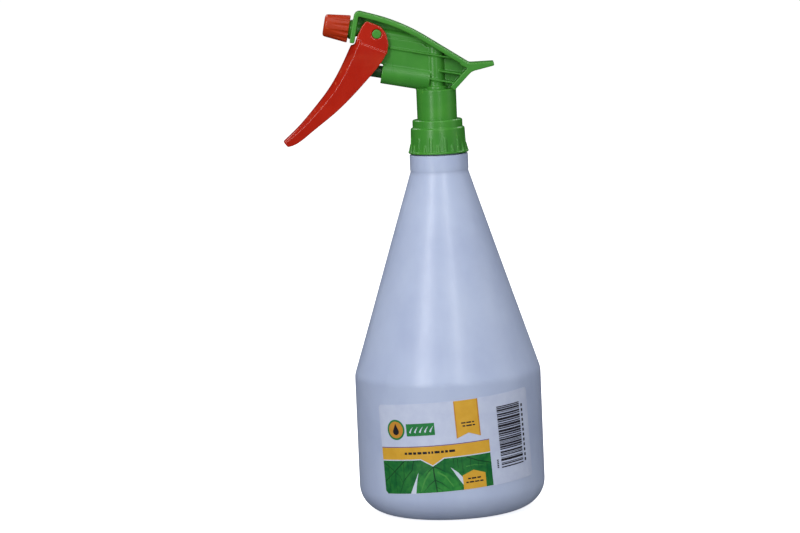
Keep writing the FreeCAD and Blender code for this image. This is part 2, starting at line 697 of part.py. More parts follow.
def piston_seal(start):
    """A lip seal in its groove, flared outwards at the mouth."""
    lip = CYLINDER_BORE - SEAL
    body = round_a([
        (start, SEAL_GROOVE_R), (start, lip - 0.25), (start + 0.5, lip), (start + SEAL_W - 0.1, lip),
        (start + SEAL_W - 0.1, lip - 0.35), (start + 1.0, SEAL_GROOVE_R + 0.45),
        (start + SEAL_W - 0.1, SEAL_GROOVE_R + 0.25), (start + SEAL_W - 0.1, SEAL_GROOVE_R),
    ], PUMP_B)
    return tilted(body)


def return_spring():
    start = PISTON_BACK - PISTON_BORE_DEPTH
    spring = coil(SPRING_R, SPRING_WIRE, CYLINDER_FLOOR - start, SPRING_COILS)
    return tilted(along_a(spring, start, PUMP_B))


# ================= trigger =================

def handle_section(front, back, half, depth):
    """A closed section of the handle: rounded in front, flat sides, straight across the back."""
    f = Vector(front[0], 0, front[1])
    b = Vector(back[0], 0, back[1])
    run = b - f
    run.normalize()
    edge = f + run * depth
    out = Vector(0, half, 0)
    arc = Part.Arc(edge - out, f, edge + out).toShape()
    return Part.Wire([arc, Part.makeLine(edge + out, b + out), Part.makeLine(b + out, b - out),
                      Part.makeLine(b - out, edge - out)])


def handle_core(front, back, half, depth):
    """The hollow inside a section: one wall smaller, and open at the back."""
    f = Vector(front[0], 0, front[1])
    b = Vector(back[0], 0, back[1])
    run = b - f
    run.normalize()
    f = f + run * TRIGGER_WALL
    b = b + run * 3.0
    return handle_section((f.x, f.z), (b.x, b.z), half - TRIGGER_WALL, depth * 0.85)


def trigger():
    outer = Part.makeLoft([handle_section(*s) for s in HANDLE_STATIONS], True, False)
    inner = Part.makeLoft([handle_core(*s) for s in HANDLE_STATIONS[:-1]], True, False)
    shell = outer.cut(inner)
    shell = shell.cut(plate(HANDLE_TOP, [0] * len(HANDLE_TOP), TRIGGER_HALF + 2))
    face = EAR_GAP_HALF + EAR_T
    ears = [plate(EAR_OUTLINE, EAR_ROUNDS, side * EAR_GAP_HALF, side * face) for side in (-1, 1)]
    body = shell.fuse(ears)
    # the bar that pushes the piston is placed in the tilted frame
    bar = Vector(PAD_A * math.cos(SLANT) + PAD_B * math.sin(SLANT), 0,
                 -PAD_A * math.sin(SLANT) + PAD_B * math.cos(SLANT))
    body = body.fuse(rod_y(bar.x, bar.z, PAD_R, TRIGGER_HALF - TRIGGER_WALL + 0.3))
    hole = PIVOT_R + RUNNING
    body = body.cut(rod_y(0, 0, hole, TRIGGER_HALF + 2))
    for side in (-1, 1):
        mouth = Vector(0, side * (face - EAR_LEAD_IN), 0)
        lead_in = Part.makeCone(hole, hole + 2 * EAR_LEAD_IN, 2 * EAR_LEAD_IN, mouth, Vector(0, side, 0))
        body = body.cut(lead_in)
    x = PIVOT_A * math.cos(SLANT) + OUTLET_B * math.sin(SLANT)
    z = -PIVOT_A * math.sin(SLANT) + OUTLET_B * math.cos(SLANT)
    body.translate(Vector(x, 0, RIM_Z + z))
    return body


# ================= nozzle =================

def nozzle_cap():
    floor = CORE_FRONT - SEAT
    thread_end = BOSS_THREAD_END - GAP
    bore = BOSS_THREAD_R + GAP
    ring_a = BOSS_END + RING_BACK
    groove = SPIGOT_R + SEAL + RING_SECTION + SEAL
    half = RING_SECTION / 2 + 0.1
    body = round_a([
        (CAP_FRONT + 0.7, ORIFICE_R), (CAP_FRONT, 1.6),
        (CAP_FRONT, CAP_FRONT_R - CAP_EDGE), (CAP_FRONT + CAP_EDGE * 0.3, CAP_FRONT_R - CAP_EDGE * 0.3),
        (CAP_FRONT + CAP_EDGE, CAP_FRONT_R), (CAP_BACK - 0.4, CAP_BACK_R), (CAP_BACK, CAP_BACK_R - 0.4),
        (CAP_BACK, bore), (thread_end, bore), (thread_end, SPIGOT_R + GAP),
        (ring_a + half, SPIGOT_R + GAP), (ring_a + half, groove), (ring_a - half, groove),
        (ring_a - half, SPIGOT_R + GAP), (floor, SPIGOT_R + GAP), (floor, ORIFICE_R),
    ], OUTLET_B)
    flutes = []
    for i in range(FLUTES):
        angle = 2 * math.pi * (i + 0.5) / FLUTES
        back = CAP_BACK_R + 0.35
        front = CAP_FRONT_R + FLUTE_R - 0.1
        start = Vector(CAP_BACK + 0.5, back * math.sin(angle), OUTLET_B + back * math.cos(angle))
        end = Vector(CAP_FRONT + 2.0, front * math.sin(angle), OUTLET_B + front * math.cos(angle))
        flutes.append(Part.makeCylinder(FLUTE_R * 0.8, (end - start).Length, start, end - start))
    ridge = thread(bore, BOSS_R + GAP, BOSS_PITCH, 0.0, CAP_TURNS, CAP_RIDGE_W, BOSS_THREAD_START)
    ridge = along_a(ridge, BOSS_THREAD_END + BOSS_THREAD_IN + BOSS_PITCH / 2, OUTLET_B)
    return tilted(body.cut(flutes).fuse(ridge))


def nozzle_o_ring():
    radius = SPIGOT_R + SEAL + RING_SECTION / 2
    centre = Vector(BOSS_END + RING_BACK, 0, OUTLET_B)
    return tilted(Part.makeTorus(radius, RING_SECTION / 2, centre, Vector(1, 0, 0)))


def swirl_core():
    """A plug in the boss's mouth with three feed grooves and a swirl dimple."""
    body = rod_a(CORE_FRONT, CORE_FRONT + CORE_LEN, OUTLET_B, CHAMBER_R)
    dimple_r, dimple_depth = SWIRL_DIMPLE
    cuts = [rod_a(CORE_FRONT - 1, CORE_FRONT + dimple_depth, OUTLET_B, dimple_r)]
    for i in range(SWIRL_GROOVES):
        angle = 2 * math.pi * i / SWIRL_GROOVES
        start = Vector(CORE_FRONT - 1, CHAMBER_R * math.sin(angle), OUTLET_B + CHAMBER_R * math.cos(angle))
        cuts.append(Part.makeCylinder(SWIRL_GROOVE_R, CORE_LEN + 2, start, Vector(1, 0, 0)))
    return tilted(body.cut(cuts))


def outlet_valve():
    back = CHAMBER_FLOOR - SEAT
    body = round_a([
        (back, 0), (back, OUTLET_BORE + 0.4), (back - 0.4, VALVE_R), (back - VALVE_T, VALVE_R),
        (back - VALVE_T, VALVE_STEM_R), (back - VALVE_T - VALVE_STEM_LEN, VALVE_STEM_R),
        (back - VALVE_T - VALVE_STEM_LEN, 0),
    ], OUTLET_B)
    return tilted(body)


def outlet_valve_spring():
    start = CORE_FRONT + CORE_LEN
    length = CHAMBER_FLOOR - SEAT - VALVE_T - start
    return tilted(along_a(coil(VALVE_SPRING_R, VALVE_WIRE, length, VALVE_COILS), start, OUTLET_B))


# ================= inlet valve, dip tube and strainer =================

def ball_centre():
    """Height at which the ball just meets its cone, above the rim."""
    across = CHAMBER_BORE - INLET_R
    side = math.hypot(across, SEAT_HEIGHT)
    return ADAPTER_PLATE_UP + ((BALL_R + SEAT) * side - INLET_R * SEAT_HEIGHT) / across


def tube_adapter():
    """The plug in the riser: ball seat above, socket for the dip tube below, disc across the skirt."""
    plate_top = ADAPTER_PLATE_UP + ADAPTER_PLATE_T
    socket_foot = SOCKET_TOP - SOCKET_DEPTH
    body = round_z([
        (TUBE_R, socket_foot), (SOCKET_R - 0.4, socket_foot), (SOCKET_R, socket_foot + 0.4),
        (SOCKET_R, ADAPTER_PLATE_UP), (SKIRT_BORE, ADAPTER_PLATE_UP), (SKIRT_BORE, plate_top),
        (RISER_BORE, plate_top), (RISER_BORE, ADAPTER_TOP), (CHAMBER_BORE, ADAPTER_TOP),
        (CHAMBER_BORE, ADAPTER_PLATE_UP + SEAT_HEIGHT), (INLET_R, ADAPTER_PLATE_UP), (INLET_R, SOCKET_TOP),
        (TUBE_R, SOCKET_TOP),
    ])
    vent = Part.makeCylinder(VENT_R, 4.0, Vector(0, (SKIRT_BORE + SOCKET_R) / 2, ADAPTER_PLATE_UP - 1))
    return above_rim(body.cut(vent))


def inlet_ball():
    return above_rim(Part.makeSphere(BALL_R, Vector(0, 0, ball_centre())))


def ball_cage():
    """A ring pressed into the top of the adapter, with a cross bar that stops the ball."""
    low = ball_centre() + BALL_R + BALL_LIFT + GAP
    body = ring(low, ADAPTER_TOP, CHAMBER_BORE, CHAMBER_BORE - CAGE_WALL)
    half = CHAMBER_BORE - CAGE_WALL / 2
    bar = Part.makeBox(2 * half, CAGE_BAR, CAGE_T, Vector(-half, -CAGE_BAR / 2, low))
    return above_rim(body.fuse(bar))


def dip_tube():
    foot = STRAINER_FOOT + STRAINER_LEN - STRAINER_GRIP
    return ring(foot, RIM_Z + SOCKET_TOP, TUBE_R, TUBE_R - TUBE_WALL)


def tube_strainer():
    """A slotted cup pushed over the tube's end."""
    top = STRAINER_FOOT + STRAINER_LEN
    tube_end = top - STRAINER_GRIP
    outer = TUBE_R + STRAINER_WALL
    cup = ring(STRAINER_FOOT, top, outer, TUBE_R)
    cup = cup.fuse(ring(STRAINER_FOOT, STRAINER_FOOT + STRAINER_FLOOR, outer))
    cup = cup.fuse(ring(tube_end - STRAINER_STOP, tube_end, outer - 0.1, TUBE_R - TUBE_WALL))
    low = STRAINER_FOOT + STRAINER_FLOOR + 1.0
    high = tube_end - STRAINER_STOP - 1.3
    slots = []
    for i in range(STRAINER_SLOTS):
        slot = Part.makeBox(outer + 1, STRAINER_SLOT_W, high - low, Vector(0, -STRAINER_SLOT_W / 2, low))
        slot.rotate(Vector(), Vector(0, 0, 1), 360.0 * i / STRAINER_SLOTS)
        slots.append(slot)
    return cup.cut(slots)


# ================= write every node =================

def main():
    nodes = {
        "bottle": bottle(),
        "label": label(),
        "screw_collar": screw_collar(),
        "neck_gasket": neck_gasket(),
        "head_body": head_body(),
        "trigger": trigger(),
        "piston": piston(),
        "piston_front_seal": piston_seal(PISTON_FRONT + SEAL_INSET),
        "piston_rear_seal": piston_seal(PISTON_BACK - SEAL_INSET - SEAL_W),
        "return_spring": return_spring(),
        "nozzle_cap": nozzle_cap(),
        "nozzle_o_ring": nozzle_o_ring(),
        "swirl_core": swirl_core(),
        "outlet_valve": outlet_valve(),
        "outlet_valve_spring": outlet_valve_spring(),
        "tube_adapter": tube_adapter(),
        "inlet_ball": inlet_ball(),
        "ball_cage": ball_cage(),
        "dip_tube": dip_tube(),
        "tube_strainer": tube_strainer(),
    }
    os.makedirs("parts", exist_ok=True)
    for name, shape in nodes.items():
        shape.exportStep("parts/" + name + ".step")
        box = shape.BoundBox
        print(f"{name:20s} solids {len(shape.Solids)} valid {shape.isValid()} volume {shape.Volume:10.2f}")
        print(f"    x {box.XMin:7.2f} {box.XMax:7.2f}  y {box.YMin:6.2f} {box.YMax:6.2f}"
              f"  z {box.ZMin:7.2f} {box.ZMax:7.2f}")


main()
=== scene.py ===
import math
import random

import bmesh
import bpy
import numpy as np
from mathutils import Matrix, Vector


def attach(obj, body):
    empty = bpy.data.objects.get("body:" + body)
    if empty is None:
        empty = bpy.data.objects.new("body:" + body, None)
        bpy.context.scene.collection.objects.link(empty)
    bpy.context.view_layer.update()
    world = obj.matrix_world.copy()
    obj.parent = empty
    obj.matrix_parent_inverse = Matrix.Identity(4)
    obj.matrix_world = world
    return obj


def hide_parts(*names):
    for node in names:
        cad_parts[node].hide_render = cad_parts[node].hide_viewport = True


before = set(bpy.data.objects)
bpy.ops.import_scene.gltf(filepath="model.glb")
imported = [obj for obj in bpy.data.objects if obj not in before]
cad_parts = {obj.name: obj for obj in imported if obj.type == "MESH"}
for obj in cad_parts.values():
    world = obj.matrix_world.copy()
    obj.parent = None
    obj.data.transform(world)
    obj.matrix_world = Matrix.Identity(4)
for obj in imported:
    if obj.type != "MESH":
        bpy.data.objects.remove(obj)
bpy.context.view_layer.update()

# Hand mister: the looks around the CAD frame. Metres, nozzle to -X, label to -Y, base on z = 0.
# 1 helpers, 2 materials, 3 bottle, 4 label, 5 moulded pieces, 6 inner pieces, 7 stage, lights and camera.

MM = 0.001
SCENE = bpy.context.scene

# ---- the bottle, in millimetres, as in the CAD ----
BOTTLE_R = 51.5
SHOULDER_Z = 77.4
SHOULDER_BEND = 14.0
CONE_TOP = (15.9, 189.2)
NECK_R = 16.1
HEEL = (17.6, 15.3)          # across and up
BASE_RING_R = 30.0
PUSH_UP = 3.6
FINISH_Z = 198.6
FINISH_R = 12.45
FINISH_BORE = 10.6
RIM_Z = 213.0
WALL = 1.0
FLOOR = 1.5
THREAD_R = 13.65
THREAD_PITCH = 4.233
THREAD_TURNS = 1.5
THREAD_LOW = RIM_Z - 1.9 - THREAD_PITCH * THREAD_TURNS
THREAD_WIDTHS = (2.0, 0.9)

# ---- the label, in millimetres on the unrolled wall ----
LABEL_W = 93.0
LABEL_H = 49.5
LABEL_TILT = math.radians(3.7)
LABEL_ARC = 4.5
LABEL_Z = 43.7
LABEL_T = 0.1
PRINT_STEP = 0.012           # each printed layer stands this much prouder than the last
PRINT_RIGHT = 17.1           # the printed panel ends here, and the barcode's margin begins
PRINT_LEFT = -46.3
PRINT_LOW = -24.4
BAND = (-5.6, 1.0)
LABEL_CORNER = 2.0
MARK = (-35.3, 10.9)         # middle of the round mark

TILT = math.radians(11.5)    # the pump head's slant

# ---- the camera, in metres ----
CAMERA_PLACE = (0.0, -1.9535, 0.3716)
CAMERA_AIM = (-0.024, 0.0, 0.1367)
CAMERA_ROLL = 0.0429
CAMERA_LENS = 159.9


# ================= 1 helpers =================

def add_object(name, mesh, body, material=None):
    obj = bpy.data.objects.new(name, mesh)
    SCENE.collection.objects.link(obj)
    if material is not None:
        mesh.materials.clear()
        mesh.materials.append(material)
    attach(obj, body)
    return obj


def smooth(mesh):
    mesh.polygons.foreach_set("use_smooth", [True] * len(mesh.polygons))
    mesh.update()


def coordinates(mesh):
    co = np.empty(len(mesh.vertices) * 3)
    mesh.vertices.foreach_get("co", co)
    return co.reshape(-1, 3)


def set_coordinates(mesh, co):
    mesh.vertices.foreach_set("co", np.ascontiguousarray(co, dtype=np.float32).ravel())
    mesh.update()


def relax(mesh, passes, share=0.5):
    """Moves each point part of the way to the middle of its neighbours, which rounds the edges."""
    edges = np.empty(len(mesh.edges) * 2, np.int64)
    mesh.edges.foreach_get("vertices", edges)
    edges = edges.reshape(-1, 2)
    co = coordinates(mesh)
    count = len(co)
    degree = np.bincount(edges.ravel(), minlength=count)[:, None]
    for _ in range(passes):
        total = np.zeros_like(co)
        for axis in range(3):
            total[:, axis] = (np.bincount(edges[:, 0], co[edges[:, 1], axis], count)
                              + np.bincount(edges[:, 1], co[edges[:, 0], axis], count))
        co += share * (total / np.maximum(degree, 1) - co)
    set_coordinates(mesh, co)


def apply_modifiers(obj):
    """The object's mesh with its modifiers made real."""
    graph = bpy.context.evaluated_depsgraph_get()
    mesh = bpy.data.meshes.new_from_object(obj.evaluated_get(graph))
    obj.modifiers.clear()
    obj.data = mesh
    return mesh


def moulded(node, name, body, material, voxel, passes, keep=1.0, slant=0.0, seam=0.0):
    """A copy of a CAD node with the soft edges of a moulding, and a fine parting line where y is 0."""
    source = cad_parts[node].data.copy()
    turn = Matrix.Rotation(-slant, 4, "Y")
    source.transform(turn)
    obj = bpy.data.objects.new(name, source)
    SCENE.collection.objects.link(obj)
    remesh = obj.modifiers.new("Remesh", "REMESH")
    remesh.mode = "VOXEL"
    remesh.voxel_size = voxel * MM
    mesh = apply_modifiers(obj)
    relax(mesh, passes)
    if seam > 0:
        co = coordinates(mesh)
        normals = np.empty(len(mesh.vertices) * 3)
        mesh.vertices.foreach_get("normal", normals)
        normals = normals.reshape(-1, 3)
        near = (np.abs(co[:, 1]) < 0.6 * voxel * MM) & (np.abs(normals[:, 1]) < 0.35)
        co[near] += normals[near] * seam * MM
        set_coordinates(mesh, co)
    if keep < 1.0:
        thin = obj.modifiers.new("Thin", "DECIMATE")
        thin.ratio = keep
        mesh = apply_modifiers(obj)
    mesh.transform(turn.inverted())
    mesh.materials.clear()
    mesh.materials.append(material)
    smooth(mesh)
    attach(obj, body)
    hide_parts(node)
    return obj


# ================= 2 materials =================

def srgb(red, green, blue):
    """A colour given as it looks on a screen, 0 to 255, as the shader's linear one."""
    def linear(c):
        c /= 255.0
        return c / 12.92 if c <= 0.04045 else ((c + 0.055) / 1.055) ** 2.4
    return (linear(red), linear(green), linear(blue), 1.0)


class Surface:
    """A Principled material and short ways to wire its textures."""

    def __init__(self, name):
        self.material = bpy.data.materials.new(name)
        self.material.use_nodes = True
        self.nodes = self.material.node_tree.nodes
        self.links = self.material.node_tree.links
        self.shader = self.nodes["Principled BSDF"]
        self.place = self.nodes.new("ShaderNodeTexCoord").outputs["Object"]

    def set(self, **values):
        for key, value in values.items():
            self.shader.inputs[key.replace("_", " ")].default_value = value

    def stretched(self, scale, turn=(0.0, 0.0, 0.0)):
        mapping = self.nodes.new("ShaderNodeMapping")
        mapping.inputs["Scale"].default_value = scale
        mapping.inputs["Rotation"].default_value = turn
        self.links.new(self.place, mapping.inputs["Vector"])
        return mapping.outputs["Vector"]

    def noise(self, scale, detail=2.0, rough=0.5, vector=None, distort=0.0):
        node = self.nodes.new("ShaderNodeTexNoise")
        node.inputs["Scale"].default_value = scale
        node.inputs["Detail"].default_value = detail
        node.inputs["Roughness"].default_value = rough
        node.inputs["Distortion"].default_value = distort
        self.links.new(vector or self.place, node.inputs["Vector"])
        return node.outputs["Fac"]

    def spread(self, value, low, high, out_low=0.0, out_high=1.0):
        node = self.nodes.new("ShaderNodeMapRange")
        node.inputs["From Min"].default_value = low
        node.inputs["From Max"].default_value = high
        node.inputs["To Min"].default_value = out_low
        node.inputs["To Max"].default_value = out_high
        self.links.new(value, node.inputs["Value"])
        return node.outputs["Result"]

    def maths(self, operation, first, second):
        node = self.nodes.new("ShaderNodeMath")
        node.operation = operation
        for socket, value in zip(node.inputs, (first, second)):
            if isinstance(value, (int, float)):
                socket.default_value = value
            else:
                self.links.new(value, socket)
        return node.outputs["Value"]

    def blend(self, share, first, second):
        """A colour between two, each a colour or another node's output."""
        node = self.nodes.new("ShaderNodeMix")
        node.data_type = "RGBA"
        self.links.new(share, node.inputs["Factor"])
        for socket, value in ((node.inputs[6], first), (node.inputs[7], second)):
            if isinstance(value, tuple):
                socket.default_value = value
            else:
                self.links.new(value, socket)
        return node.outputs[2]

    def edges(self, low, high):
        """1 on outward edges and 0 on flats."""
        point = self.nodes.new("ShaderNodeNewGeometry").outputs["Pointiness"]
        return self.spread(point, low, high)

    def bump(self, *layers):
        """Each layer is (height output, depth in millimetres)."""
        normal = None
        for height, depth in layers:
            node = self.nodes.new("ShaderNodeBump")
            node.inputs["Distance"].default_value = depth * MM
            node.inputs["Strength"].default_value = 1.0
            self.links.new(height, node.inputs["Height"])
            if normal is not None:
                self.links.new(normal, node.inputs["Normal"])
            normal = node.outputs["Normal"]
        self.links.new(normal, self.shader.inputs["Normal"])

    def colour(self, output):
        self.links.new(output, self.shader.inputs["Base Color"])

    def roughness(self, output):
        self.links.new(output, self.shader.inputs["Roughness"])


def moulded_plastic(name, colour, shade, light, rough, grain):
    """Pigmented polypropylene: colour drift, flow lines, a painted highlight along the edges, scratches and
    sink marks.
    """
    s = Surface(name)
    drift = s.noise(55, 3.0)
    flow = s.noise(90, 2.0, vector=s.stretched((0.25, 1.0, 1.0), (0.0, -TILT, 0.0)), distort=0.6)
    base = s.blend(s.spread(drift, 0.35, 0.65), shade, colour)
    base = s.blend(s.spread(flow, 0.55, 0.8, 0.0, 0.22), base, light)
    # painted highlight: where pointiness marks an outward edge, the colour blends up to 55% towards the
    # light colour, standing in for the lamps' glint on the rounded edges
    base = s.blend(s.spread(s.edges(0.51, 0.6), 0.0, 1.0, 0.0, 0.55), base, light)
    s.colour(base)
    scratch = s.noise(700, 2.0, vector=s.stretched((1.0, 0.15, 0.12), (0.3, 0.5, 0.2)))
    s.roughness(s.maths("ADD", s.spread(scratch, 0.3, 0.7, rough - 0.02, rough + 0.025),
                        s.spread(drift, 0.3, 0.7, -0.02, 0.02)))
    s.set(IOR=1.49, Specular_IOR_Level=0.42)
    s.bump((drift, 0.18), (s.noise(2600, 2.0), grain))
    return s.material


def bottle_plastic():
    """Milky polyethylene: bluish and cloudy, with a soft sheen and a blown wall's faint ripples."""
    s = Surface("bottle_plastic")
    cloud = s.noise(28, 4.0, 0.55)
    streak = s.noise(70, 3.0, vector=s.stretched((1.0, 1.0, 0.12)))
    base = s.blend(s.spread(cloud, 0.35, 0.65), srgb(172, 185, 217), srgb(182, 195, 225))
    base = s.blend(s.spread(streak, 0.5, 0.8, 0.0, 0.25), base, srgb(193, 206, 231))
    s.colour(base)
    s.roughness(s.spread(s.noise(260, 3.0), 0.3, 0.7, 0.3, 0.38))
    s.set(IOR=1.5, Specular_IOR_Level=0.5, Subsurface_Weight=0.18, Subsurface_Scale=0.004)
    s.shader.inputs["Subsurface Radius"].default_value = (0.8, 0.9, 1.0)
    s.bump((s.noise(38, 2.0, vector=s.stretched((1.0, 1.0, 0.35))), 0.55), (s.noise(1500, 2.0), 0.006))
    return s.material


def paper(name, first, second, rough=0.34):
    """Printed, laminated film: ink that varies a little, with the print's fine grain."""
    s = Surface(name)
    s.colour(s.blend(s.spread(s.noise(160, 4.0, 0.6), 0.35, 0.65), first, second))
    s.roughness(s.spread(s.noise(500, 2.0), 0.3, 0.7, rough - 0.04, rough + 0.05))
    s.set(IOR=1.46, Coat_Weight=0.12, Coat_Roughness=0.2)
    s.bump((s.noise(120, 2.0), 0.03), (s.noise(3200, 1.0), 0.003))
    return s.material


def leaf_ink(name, deep, bright, dark):
    """A printed leaf: mottled greens with fine side veins."""
    s = Surface(name)
    mottle = s.noise(190, 5.0, 0.62, distort=0.8)
    fibre = s.noise(520, 2.0, vector=s.stretched((1.0, 1.0, 0.18)))
    base = s.blend(s.spread(mottle, 0.35, 0.68), deep, bright)
    base = s.blend(s.spread(fibre, 0.5, 0.8, 0.0, 0.5), base, dark)
    s.colour(base)
    s.roughness(s.spread(mottle, 0.3, 0.7, 0.3, 0.38))
    s.set(IOR=1.46, Coat_Weight=0.12, Coat_Roughness=0.2)
    s.bump((s.noise(120, 2.0), 0.03), (s.noise(3200, 1.0), 0.003))
    return s.material


def steel(name, base, rough):
    """Drawn wire or a polished ball: fine lines in the finish and a little tarnish."""
    s = Surface(name)
    tarnish = s.noise(900, 3.0)
    s.colour(s.blend(s.spread(tarnish, 0.4, 0.7), base, srgb(150, 148, 142)))
    s.roughness(s.spread(s.noise(4000, 2.0), 0.3, 0.7, rough - 0.06, rough + 0.08))
    s.set(Metallic=1.0)
    s.bump((s.noise(6000, 1.0), 0.002))
    return s.material


def soft(name, first, second, rough, scale, depth):
    """Rubber or foam: matt, with its own grain."""
    s = Surface(name)
    grain = s.noise(scale, 3.0)
    s.colour(s.blend(s.spread(grain, 0.35, 0.65), first, second))
    s.roughness(s.spread(grain, 0.3, 0.7, rough - 0.05, rough + 0.08))
    s.set(IOR=1.5)
    s.bump((grain, depth))
    return s.material


# the last colour of each plastic is its lighter flow-line tint and also the painted highlight on its edges
GREEN = moulded_plastic("green_plastic", srgb(68, 146, 50), srgb(60, 135, 48),
                        srgb(98, 166, 60), 0.3, 0.004)
RED = moulded_plastic("red_plastic", srgb(178, 34, 14), srgb(164, 28, 14), srgb(216, 96, 58), 0.2, 0.003)
CAP_RED = moulded_plastic("cap_plastic", srgb(176, 50, 14), srgb(164, 44, 14),
                          srgb(210, 98, 52), 0.24, 0.003)
DARK_GREEN = moulded_plastic("piston_plastic", srgb(36, 84, 36), srgb(28, 70, 32),
                             srgb(60, 120, 54), 0.38, 0.004)
NATURAL = moulded_plastic("natural_plastic", srgb(222, 220, 208), srgb(208, 206, 196),
                          srgb(238, 236, 226), 0.4, 0.004)
BOTTLE = bottle_plastic()
FILM = paper("label_film", srgb(188, 197, 223), srgb(196, 205, 228))
YELLOW = paper("print_yellow", srgb(208, 158, 46), srgb(216, 167, 54))
AMBER = paper("print_amber", srgb(190, 130, 44), srgb(198, 140, 50))
BLACK = paper("print_black", srgb(26, 24, 30), srgb(38, 36, 44))
PURPLE = paper("print_line", srgb(104, 84, 128), srgb(116, 96, 140))
WHITE_INK = paper("print_white", srgb(196, 206, 224), srgb(204, 214, 230))
BAR_GREEN = paper("print_green", srgb(28, 118, 58), srgb(36, 128, 64))
FRONT_LEAF = leaf_ink("print_front_leaf", srgb(28, 116, 50), srgb(52, 140, 58), srgb(20, 98, 46))
LEAF = leaf_ink("print_leaf", srgb(16, 96, 48), srgb(44, 126, 54), srgb(14, 86, 44))
VEIN = paper("print_vein", srgb(8, 60, 34), srgb(22, 76, 40))
PALE_LEAF = paper("print_pale_leaf", srgb(56, 138, 60), srgb(76, 150, 68))
RUBBER = soft("seal_rubber", srgb(34, 34, 36), srgb(46, 46, 48), 0.55, 900, 0.01)
FOAM = soft("gasket_foam", srgb(222, 222, 218), srgb(236, 236, 232), 0.8, 1600, 0.05)
WIRE = steel("spring_steel", srgb(196, 196, 198), 0.26)
BALL = steel("ball_steel", srgb(214, 214, 216), 0.14)


# ================= 3 bottle =================

def arc_points(centre, radius, start, end, steps):
    """Points on an arc, from start to end in degrees."""
    out = []
    for i in range(steps + 1):
        t = math.radians(start + (end - start) * i / steps)
        out.append((centre[0] + radius * math.cos(t), centre[1] + radius * math.sin(t)))
    return out


def bottle_side(inset, floor):
    """The side from the middle of the base to the top of the cone, inset by the wall."""
    radius = BOTTLE_R - inset
    across, up = HEEL[0] - inset, HEEL[1] - floor
    dish = BASE_RING_R + inset
    points = [(dish * i / 12, floor + PUSH_UP * (1 - (i / 12) ** 2)) for i in range(13)]
    for i in range(19):
        t = math.radians(5 * i)
        points.append((radius - across + across * math.sin(t), HEEL[1] - up * math.cos(t)))
    slope = math.atan2(BOTTLE_R - CONE_TOP[0], CONE_TOP[1] - SHOULDER_Z)
    reach = SHOULDER_BEND * math.tan(slope / 2)
    centre = (radius - SHOULDER_BEND, SHOULDER_Z - reach)
    points += arc_points(centre, SHOULDER_BEND, 0.0, math.degrees(slope), 8)
    points.append((CONE_TOP[0] - inset, CONE_TOP[1]))
    return points


def fine(points, step):
    """The same line with more points, none further apart than step."""
    out = [points[0]]
    for (r0, z0), (r1, z1) in zip(points, points[1:]):
        parts = max(1, math.ceil(math.hypot(r1 - r0, z1 - z0) / step))
        out += [(r0 + (r1 - r0) * i / parts, z0 + (z1 - z0) * i / parts) for i in range(1, parts + 1)]
    return out


def bottle_profile():
    """Outside from the base up, over the lip, and inside back down to the base."""
    lip = 0.4
    outside = bottle_side(0.0, 0.0)
    outside += arc_points((NECK_R - 0.9, CONE_TOP[1] + 0.7), 0.9, 10.0, 0.0, 2)
    outside += [(NECK_R, CONE_TOP[1] + 2.0), (NECK_R, FINISH_Z - 0.7)]
    outside += arc_points((NECK_R - 0.6, FINISH_Z - 0.6), 0.6, 0.0, 90.0, 4)
    outside += [(FINISH_R + 0.3, FINISH_Z)]
    outside += [(FINISH_R, FINISH_Z + 0.3), (FINISH_R, RIM_Z - lip)]
    outside += arc_points((FINISH_R - lip, RIM_Z - lip), lip, 15.0, 90.0, 4)
    inside = bottle_side(WALL, FLOOR)
    inside += [(NECK_R - WALL - 0.2, FINISH_Z - 3.0), (FINISH_BORE, FINISH_Z + 0.5)]
    lip_in = arc_points((FINISH_BORE + lip, RIM_Z - lip), lip, 90.0, 180.0, 4)
    return fine(outside, 2.0), lip_in + fine(inside[::-1], 5.0)


def bottle_angles():
    """Round the bottle, with extra points beside the two parting lines."""
    angles = [2 * math.pi * i / 240 for i in range(240)]
    for middle in (0.0, math.pi):
        angles += [middle + side * mm / BOTTLE_R for side in (-1, 1) for mm in (0.25, 0.55, 0.9)]
    return sorted(a % (2 * math.pi) for a in angles)


def parting(angle):
    """Height of the mould's parting line in millimetres, at both ends of the X axis."""
    away = min(abs(math.sin(angle / 2)), abs(math.cos(angle / 2))) * 2 * BOTTLE_R
    return 0.09 * max(0.0, 1.0 - (away / 0.6) ** 2)


def make_bottle():
    outside, inside = bottle_profile()
    profile = outside + inside
    angles = bottle_angles()
    bm = bmesh.new()
    rings = []
    for k, (r, z) in enumerate(profile):
        if r < 1e-6:
            rings.append([bm.verts.new((0, 0, z * MM))])
            continue
        shown = k < len(outside) and r > 5 and z < FINISH_Z - 1
        ring = []
        for t in angles:
            out = parting(t) if shown else 0.0
            if shown and z > SHOULDER_Z:
                # the cone's wall, blown thinner, isn't quite round
                out -= 0.07 * (1 + math.cos(3 * t + 0.04 * z)) * min(1.0, (z - SHOULDER_Z) / 20)
            rr = r + out
            ring.append(bm.verts.new((rr * math.cos(t) * MM, rr * math.sin(t) * MM, z * MM)))
        rings.append(ring)
    for low, high in zip(rings, rings[1:]):
        count = max(len(low), len(high))
        for i in range(count):
            j = (i + 1) % count
            if len(low) == 1:
                bm.faces.new((low[0], high[j], high[i]))
            elif len(high) == 1:
                bm.faces.new((low[i], low[j], high[0]))
            else:
                bm.faces.new((low[i], low[j], high[j], high[i]))
    add_thread(bm)
    add_pinch(bm)
    bmesh.ops.recalc_face_normals(bm, faces=bm.faces)
    mesh = bpy.data.meshes.new("bottle_shell")
    bm.to_mesh(mesh)
    bm.free()
    smooth(mesh)
    obj = add_object("bottle_shell", mesh, "bottle", BOTTLE)
    mesh.set_sharp_from_angle(angle=math.radians(50))
    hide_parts("bottle")
    return obj


